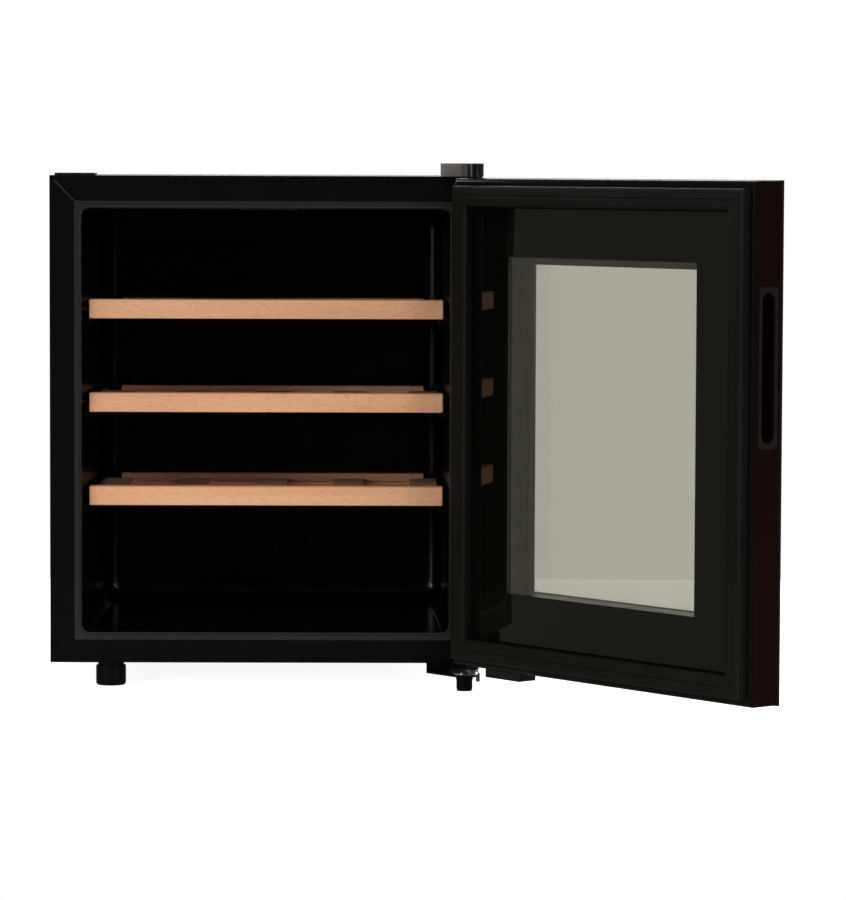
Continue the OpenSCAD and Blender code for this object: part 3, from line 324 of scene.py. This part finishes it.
ENAMEL_IN.colour(ENAMEL_IN.ramp(ENAMEL_IN.noise(size=6, detail=2),
                                [(0.3, (0.0020, 0.0020, 0.0013)),
                                 (0.7, (0.0026, 0.0026, 0.0016))]))
ENAMEL_IN.bow(SHUT_X, PANE_MIDDLE, PANE_FALL)
ENAMEL_IN.vary_rough(ENAMEL_IN.noise(size=25, detail=3), 0.0, 0.03)
ENAMEL_IN.set("Specular Tint", (1.0, 0.97, 0.80, 1))
WINDOW = pane_glass("door_glass", (0.636, 0.627, 0.573))
WINDOW.set("Specular Tint", (1.0, 0.95, 0.70, 1))

PAINTS = {
    CASE: ["outer_case", "base_panel", "back_panel", "bottom_hinge_bracket"],
    LINER: ["inner_liner"],
    DUCT: ["duct_cover"],
    FOAM: ["insulation", "door_foam"],
    ALU: ["cold_sink", "spacer_block", "hot_sink"],
    CERAMIC: ["peltier_module"],
    BLACK: ["inner_fan_frame", "outer_fan_frame", "inner_fan_rotor", "outer_fan_rotor",
            "machine_tray", "cord_gland", "hinge_hole_cap", "duct_screws",
            "door_bushes"],
    FOOT: ["front_left_foot", "front_right_foot", "rear_feet"],
    HANDLE: ["handle_cup"],
    HOOD: ["top_hinge_cover"],
    GUARD: ["fan_guard"],
    ZINC: ["bottom_hinge_link", "bottom_hinge_nut", "bottom_hinge_pin", "top_hinge_pin",
           "top_hinge_plate", "hinge_screws", "hinge_backing_plates", "back_panel_screws",
           "door_stop_screws"],
    BOARD: ["power_board", "light_board", "control_board"],
    WHITE: ["temperature_sensor", "light_housing", "foot_insert"],
    LENS: ["light_lens"],
    DOOR: ["door_frame"],
    MAGNET: ["gasket_magnets"],
    STOP: ["door_stop_block"],
    SPACER: ["glazing_spacer"],
    WOOD_X: [f"shelf_{i}_{p}" for i in (1, 2, 3) for p in ("front_bar", "rails")],
    WOOD_Y: [f"shelf_{i}_slats" for i in (1, 2, 3)],
}

# Width of the softened edges of each CAD node, in millimetres
EDGES = {
    "outer_case": 0.3, "base_panel": 0.3, "back_panel": 0.2, "inner_liner": 0.5,
    "duct_cover": 0.8, "top_hinge_cover": 1.2, "bottom_hinge_bracket": 0.4,
    "bottom_hinge_link": 0.5, "bottom_hinge_nut": 0.4, "top_hinge_plate": 0.3,
    "hinge_hole_cap": 0.6, "rear_feet": 0.6, "front_left_foot": 0.6,
    "front_right_foot": 0.3, "door_frame": 0.4, "glazing_spacer": 0.4,
    "handle_cup": 0.35, "door_stop_block": 1.2, "cord_gland": 0.4,
    "light_lens": 0.4, "temperature_sensor": 0.4, "cold_sink": 0.2,
}
SHELF_EDGES = {"front_bar": 1.4, "slats": 0.8, "rails": 0.9}
OTHER_EDGES = 0.15
SHARPEST_ROUNDED = math.radians(38)


def finish_mesh(obj, width, segments=3):
    """Welds the seams, rounds the edges and evens the shading."""
    for p in obj.data.polygons:
        p.use_smooth = True
    if "custom_normal" in obj.data.attributes:
        obj.data.attributes.remove(obj.data.attributes["custom_normal"])
    weld = obj.modifiers.new("weld", "WELD")
    weld.merge_threshold = 0.01 * MM
    bevel = obj.modifiers.new("edges", "BEVEL")
    bevel.width = width * MM
    bevel.segments = segments
    bevel.limit_method = "ANGLE"
    bevel.angle_limit = SHARPEST_ROUNDED
    normals = obj.modifiers.new("normals", "WEIGHTED_NORMAL")
    normals.keep_sharp = True


for paint, names in PAINTS.items():
    for name in names:
        nodes[name].data.materials.clear()
        nodes[name].data.materials.append(paint.mat)
for name, obj in nodes.items():
    part = next((p for p in SHELF_EDGES if name.endswith(p)), None)
    finish_mesh(obj, SHELF_EDGES[part] if part else EDGES.get(name, OTHER_EDGES))


# ------------------------------------------------------------ new pieces
def mesh_piece(name, verts, faces, paint, matrix=None):
    """New object in one paint, its faces turned outwards."""
    mesh = bpy.data.meshes.new(name)
    mesh.from_pydata(verts, [], faces)
    if matrix is not None:
        mesh.transform(matrix)
    mesh.validate()
    made = bmesh.new()
    made.from_mesh(mesh)
    bmesh.ops.recalc_face_normals(made, faces=made.faces)
    made.to_mesh(mesh)
    made.free()
    obj = bpy.data.objects.new(name, mesh)
    scene.collection.objects.link(obj)
    mesh.materials.append(paint.mat)
    return obj


def corners(low, high):
    """Corners of a rectangle in X and Z, in order round it."""
    return [(low[0], low[1]), (high[0], low[1]), (high[0], high[1]), (low[0], high[1])]


def rect_ring(name, low, high, profile, paint):
    """Mitred ring round a rectangle in X and Z. Each profile point is
    (distance in from the rectangle, y); the profile is closed."""
    verts, faces = [], []
    for d, y in profile:
        inset = corners((low[0] + d, low[1] + d), (high[0] - d, high[1] - d))
        verts += [(x, y, z) for x, z in inset]
    for i in range(len(profile)):
        j = (i + 1) % len(profile)
        for k in range(4):
            m = (k + 1) % 4
            faces.append((i * 4 + k, i * 4 + m, j * 4 + m, j * 4 + k))
    return mesh_piece(name, verts, faces, paint, swing)


def block(name, low, high, paint, rim):
    """Plate between two corners of the shut door, its narrow sides in a paint
    of their own."""
    xs, ys, zs = zip(low, high)
    verts = [(x, y, z) for x in xs for y in ys for z in zs]
    faces = [(0, 1, 3, 2), (4, 6, 7, 5), (0, 4, 5, 1), (2, 3, 7, 6), (0, 2, 6, 4),
             (1, 5, 7, 3)]
    plate = mesh_piece(name, verts, faces, paint, swing)
    plate.data.materials.append(rim.mat)
    broad = Vector(SHUT_Y)
    for p in plate.data.polygons:
        p.material_index = 0 if abs(p.normal.dot(broad)) > 0.5 else 1
    return plate


# The clear window starts at the glazing bar's inner edge. The outer pane's enamel
# reaches further in, most of all at the sides and the top
SPACER_W = 8 * MM
ENAMEL_SIDE, ENAMEL_FOOT, ENAMEL_HEAD = 7 * MM, 1 * MM, 7.5 * MM
spacer_low, spacer_high = shut_box("glazing_spacer")
INNER_WINDOW = ((spacer_low.x + SPACER_W, spacer_low.z + SPACER_W),
                (spacer_high.x - SPACER_W, spacer_high.z - SPACER_W))
OUTER_WINDOW = ((INNER_WINDOW[0][0] + ENAMEL_SIDE, INNER_WINDOW[0][1] + ENAMEL_FOOT),
                (INNER_WINDOW[1][0] - ENAMEL_SIDE, INNER_WINDOW[1][1] - ENAMEL_HEAD))
# The enamel's back: gap behind the outer pane and thickness
BACK_GAP, BACK_T = 0.05 * MM, 0.3 * MM


def plate_ring(name, outer, inner, y0, y1, paint):
    """Flat ring of the shut door between two rectangles and two depths."""
    verts, faces = [], []
    for y in (y0, y1):
        verts += [(x, y, z) for x, z in corners(*outer) + corners(*inner)]
    for k in range(4):
        m = (k + 1) % 4
        faces += [(k, m, 4 + m, 4 + k), (8 + k, 12 + k, 12 + m, 8 + m),
                  (k, 8 + k, 8 + m, m), (4 + k, 4 + m, 12 + m, 12 + k)]
    return mesh_piece(name, verts, faces, paint, swing)


def pane(node, paint, edge, inner):
    """A pane as its enamelled border and the clear window inside it."""
    low, high = shut_box(node)
    outer = ((low.x, low.z), (high.x, high.z))
    border = plate_ring(node + "_border", outer, inner, low.y, high.y, paint)
    finish_mesh(border, edge)
    window = block(node + "_window", (inner[0][0], low.y, inner[0][1]),
                   (inner[1][0], high.y, inner[1][1]), WINDOW, paint)
    for piece in (border, window):
        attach(piece, "door")
        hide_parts(node)


def enamel_back():
    """Back of the outer pane's enamel, inside the glazing bar: its own cream tone, painted paler
    as painted light for the backdrop shining through the enamel.
    """
    y0 = shut_box("outer_glass")[1].y + BACK_GAP
    ring = plate_ring("enamel_back", INNER_WINDOW, OUTER_WINDOW, y0, y0 + BACK_T, BACKING)
    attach(ring, "door")


# Gasket profile: outer lip, broad face, hinge groove, inner lip, as millimetres
# in from the door's edge and millimetres in front of the case
GASKET = [(7.8, -10), (7.8, -8.8), (8.5, -8.5), (8.5, -7.6), (7.9, -7.3), (7.9, -3.0),
          (8.4, -1.5), (9.6, -0.8), (11.0, -0.55), (16.4, -0.5), (17.2, -0.8),
          (17.5, -1.5), (18.1, -1.5), (18.5, -0.9), (19.4, -0.7), (22.0, -0.9),
          (26.4, -1.5), (27.7, -2.4), (28.3, -4.2), (28.3, -10)]


def gasket():
    low, high = shut_box("outer_glass")
    profile = [(d * MM, y * MM) for d, y in GASKET]
    ring = rect_ring("gasket", (low.x, low.z), (high.x, high.z), profile, RUBBER)
    finish_mesh(ring, 0.25, 2)
    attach(ring, "door")
    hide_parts("door_gasket")


gasket()
pane("outer_glass", ENAMEL_OUT, 0.8, OUTER_WINDOW)
pane("inner_glass", ENAMEL_IN, 0.5, INNER_WINDOW)
enamel_back()


# ------------------------------------------------------------ case front
OPENING_HALF, OPENING_LOW, OPENING_HIGH = 183.3 * MM, 54.1 * MM, 477.4 * MM
OPENING_R = 8 * MM
LIP_W = 7.5 * MM
# The bead's radius, its gap from the opening and its middle's depth in the face
BEAD_R, BEAD_GAP, BEAD_Y = 1.1 * MM, 0.1 * MM, 0.4 * MM
BEAD_STEPS, BEAD_SIDES = 6, 10
# The mitre's end, short of the case's corner, its half width and its depth
SEAM_END, SEAM_HALF, SEAM_DEPTH = 0.6 * MM, 0.3 * MM, 0.3 * MM


def bead():
    """Round bead on the liner's lip, all the way round the opening."""
    radius = OPENING_R + BEAD_R + BEAD_GAP
    verts, faces = [], []
    for quarter, (sx, sz) in enumerate(((1, 1), (-1, 1), (-1, -1), (1, -1))):
        cx = sx * (OPENING_HALF - OPENING_R)
        cz = OPENING_HIGH - OPENING_R if sz > 0 else OPENING_LOW + OPENING_R
        for step in range(BEAD_STEPS + 1):
            a = math.pi / 2 * (quarter + step / BEAD_STEPS)
            out = Vector((math.cos(a), 0, math.sin(a)))
            centre = Vector((cx, BEAD_Y, cz)) + out * radius
            for side in range(BEAD_SIDES):
                b = 2 * math.pi * side / BEAD_SIDES
                deeper = Vector((0, math.sin(b), 0))
                verts.append(centre + BEAD_R * (out * math.cos(b) + deeper))
    rings = len(verts) // BEAD_SIDES
    for i in range(rings):
        for k in range(BEAD_SIDES):
            j, m = (i + 1) % rings, (k + 1) % BEAD_SIDES
            here, there = i * BEAD_SIDES, j * BEAD_SIDES
            faces.append((here + k, here + m, there + m, there + k))
    ring = mesh_piece("lip_bead", verts, faces, LIP)
    for p in ring.data.polygons:
        p.use_smooth = True
    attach(ring, "cabinet")


def mitre(side):
    """Strip painted pale in the seam at a top corner of the case: a painted highlight for the
    light the sheet's cut edges catch.
    """
    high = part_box("outer_case")[1]
    start = Vector((OPENING_HALF + LIP_W, 0, OPENING_HIGH + LIP_W))
    end = Vector((high[0] - SEAM_END, 0, high[2] - SEAM_END))
    across = (end - start).normalized().cross(Vector((0, 1, 0))) * SEAM_HALF
    verts = [(side * p.x, y, p.z) for y in (0.0, SEAM_DEPTH)
             for p in (start - across, end - across, end + across, start + across)]
    faces = [(0, 1, 2, 3), (4, 7, 6, 5), (0, 4, 5, 1), (1, 5, 6, 2), (2, 6, 7, 3), (3, 7, 4, 0)]
    strip = mesh_piece("mitre_left" if side < 0 else "mitre_right", verts, faces, SEAM)
    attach(strip, "cabinet")


bead()
mitre(-1)
mitre(1)


# ------------------------------------------------------------ studio
FLOOR_LOW, FLOOR_HIGH = (-0.62, -0.78), (0.86, 1.10)
# The floor's own glow, and what a look from the camera or through glass changes
GLOW, GLOW_SEEN, GLOW_THROUGH = 0.80, 0.12, -0.56
# The backdrop's light falls off from the sides to this direction's Y, near the front
DIM_AT = -0.95
CAMERA_PLACE = (0.1058, -4.1943, 0.5236)
YAW, PITCH, ROLL = (math.radians(a) for a in (0.697, 3.900, 0.212))
LENS_MM, SENSOR_MM = 168.6, 36


def floor():
    """Paper sheet, lit from within a little so that it melts into the backdrop.
    Glossy faces don't mirror it, as on a floor with a dark surround."""
    mesh = bpy.data.meshes.new("floor")
    mesh.from_pydata([(x, y, 0) for x, y in corners(FLOOR_LOW, FLOOR_HIGH)], [], [(0, 1, 2, 3)])
    obj = bpy.data.objects.new("floor", mesh)
    scene.collection.objects.link(obj)
    p = Paint("floor_paper", (0.90, 0.90, 0.895), 0.75, spec=0.2)
    p.colour(p.ramp(p.noise(size=3, detail=2),
                    [(0.3, (0.89, 0.89, 0.885)), (0.7, (0.91, 0.91, 0.905))]))
    p.set("Emission Color", (1, 1, 1, 1))
    path = p.node("ShaderNodeLightPath")
    seen = p.node("ShaderNodeMath", operation="MULTIPLY_ADD")
    through = p.node("ShaderNodeMath", operation="MULTIPLY_ADD")
    for node, ray, change in ((seen, "Is Camera Ray", GLOW_SEEN),
                              (through, "Is Transmission Ray", GLOW_THROUGH)):
        p.link(path.outputs[ray], node.inputs[0])
        node.inputs[1].default_value = change
    seen.inputs[2].default_value = GLOW
    p.link(seen.outputs[0], through.inputs[2])
    p.link(through.outputs[0], p.bsdf.inputs["Emission Strength"])
    mesh.materials.append(p.mat)
    obj.visible_glossy = False


def area_light(name, place, target, size, power):
    """Rectangular soft light at a place, aimed at a target."""
    data = bpy.data.lights.new(name, "AREA")
    data.shape = "RECTANGLE"
    data.size, data.size_y = size
    data.energy = power
    obj = bpy.data.objects.new(name, data)
    scene.collection.objects.link(obj)
    obj.location = place
    aim = Vector(target) - Vector(place)
    obj.rotation_euler = aim.to_track_quat("-Z", "Y").to_euler()


def sky(seen, ambient, front):
    """Plain backdrop: one tone for the eye, and for the light a dimmer one
    that falls off towards the front."""
    world = bpy.data.worlds.new("studio")
    scene.world = world
    world.use_nodes = True
    tree = world.node_tree
    tree.nodes.clear()
    out = tree.nodes.new("ShaderNodeOutputWorld")
    path = tree.nodes.new("ShaderNodeLightPath")
    direct = tree.nodes.new("ShaderNodeMath")
    direct.operation = "MAXIMUM"
    tree.links.new(path.outputs["Is Camera Ray"], direct.inputs[0])
    tree.links.new(path.outputs["Is Transmission Ray"], direct.inputs[1])
    coords = tree.nodes.new("ShaderNodeTexCoord")
    split = tree.nodes.new("ShaderNodeSeparateXYZ")
    tree.links.new(coords.outputs["Generated"], split.inputs[0])
    fade = tree.nodes.new("ShaderNodeMapRange")
    for socket, value in (("From Min", DIM_AT), ("From Max", 0.0), ("To Min", front),
                          ("To Max", ambient)):
        fade.inputs[socket].default_value = value
    tree.links.new(split.outputs["Y"], fade.inputs["Value"])
    shades = [tree.nodes.new("ShaderNodeBackground") for _ in range(2)]
    tree.links.new(fade.outputs[0], shades[0].inputs[0])
    shades[1].inputs[0].default_value = (seen, seen, seen, 1)
    mix = tree.nodes.new("ShaderNodeMixShader")
    tree.links.new(direct.outputs[0], mix.inputs[0])
    tree.links.new(shades[0].outputs[0], mix.inputs[1])
    tree.links.new(shades[1].outputs[0], mix.inputs[2])
    tree.links.new(mix.outputs[0], out.inputs[0])


def camera():
    """The camera fitted to the photograph."""
    data = bpy.data.cameras.new("camera")
    data.sensor_width = SENSOR_MM
    data.lens = LENS_MM
    data.clip_end = 60
    obj = bpy.data.objects.new("camera", data)
    scene.collection.objects.link(obj)
    scene.camera = obj
    ahead = Vector((math.sin(YAW) * math.cos(PITCH), math.cos(YAW) * math.cos(PITCH),
                    -math.sin(PITCH)))
    right = Vector((math.cos(YAW), -math.sin(YAW), 0))
    up = right.cross(ahead)
    across = right * math.cos(ROLL) + up * math.sin(ROLL)
    upward = up * math.cos(ROLL) - right * math.sin(ROLL)
    turn = Matrix((across, upward, -ahead)).transposed().to_4x4()
    obj.matrix_world = Matrix.Translation(CAMERA_PLACE) @ turn


floor()
sky(1.0, 0.19, 0.04)
area_light("key", (-3.2, -4.3, 1.5), (0.05, 0.0, 0.3), (1.8, 1.8), 94)
area_light("fill", (3.2, -3.9, 1.9), (0.0, 0.0, 0.3), (2.0, 2.0), 75)
area_light("top", (0.1, -0.5, 4.2), (0.1, -0.1, 0.0), (6.0, 6.0), 125)
area_light("back", (0.0, 5.0, 2.5), (0.1, 0.4, 0.2), (3.5, 1.6), 90)
area_light("left side", (-3.6, 3.6, 1.6), (-0.2, 0.3, 0.25), (1.6, 1.6), 40)
area_light("right side", (4.2, 2.6, 1.6), (0.2, 0.2, 0.25), (1.6, 1.6), 70)
camera()
scene.view_settings.view_transform = "Standard"
